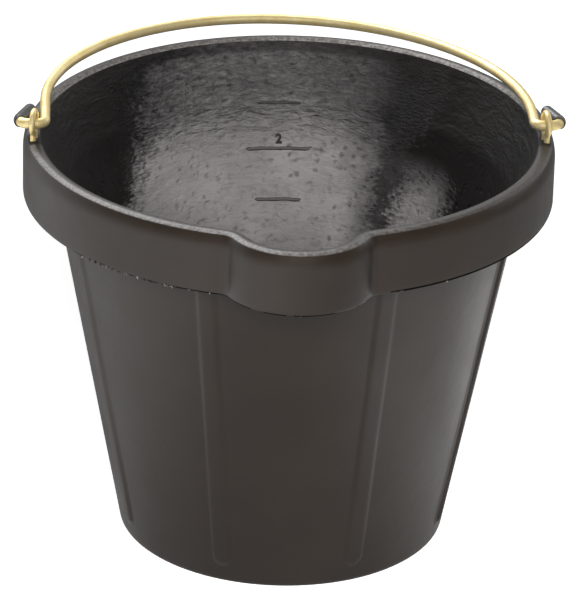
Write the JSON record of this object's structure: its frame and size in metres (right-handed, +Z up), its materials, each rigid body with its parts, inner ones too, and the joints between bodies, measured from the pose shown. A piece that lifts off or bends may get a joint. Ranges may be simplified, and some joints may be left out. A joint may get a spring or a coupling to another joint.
{
  "type": "round rubber pail with pouring lip",
  "caption": "Round moulded rubber pail with a heavy rim band, a pouring lip, low wall ribs and a swinging wire bail hooked through wire eyes.",
  "frame": {"origin": "centre of the pail's flat base, on the surface it stands on", "axes": "+Z up along the pail's axis; -Y towards the pouring lip; +X towards the right eye, seen from the lip"},
  "size_m": [0.3408, 0.3551, 0.2848],
  "materials": {
    "moulded_rubber": "semi-matt black moulded rubber, smoother outside and wrinkled inside",
    "brass_wire": "brass-plated wire, satin",
    "plain_steel": "plain steel, buried",
    "black_sleeve": "glossy black end sleeve"
  },
  "bodies": {
    "bucket": {"bucket_shell": "moulded_rubber", "eye_left": "brass_wire", "eye_right": "brass_wire", "anchor_plate_left": "plain_steel", "anchor_plate_right": "plain_steel"},
    "bail": {"bail": "brass_wire", "hook_sleeve_left": "black_sleeve", "hook_sleeve_right": "black_sleeve"}
  },
  "joints": [
    {"name": "bail_swing", "type": "hinge", "parent": "bucket", "child": "bail", "pos_m": [0, -0.014, 0.2751], "axis": [1, 0, 0], "range_deg": [-1.9, 182.9]}
  ]
}
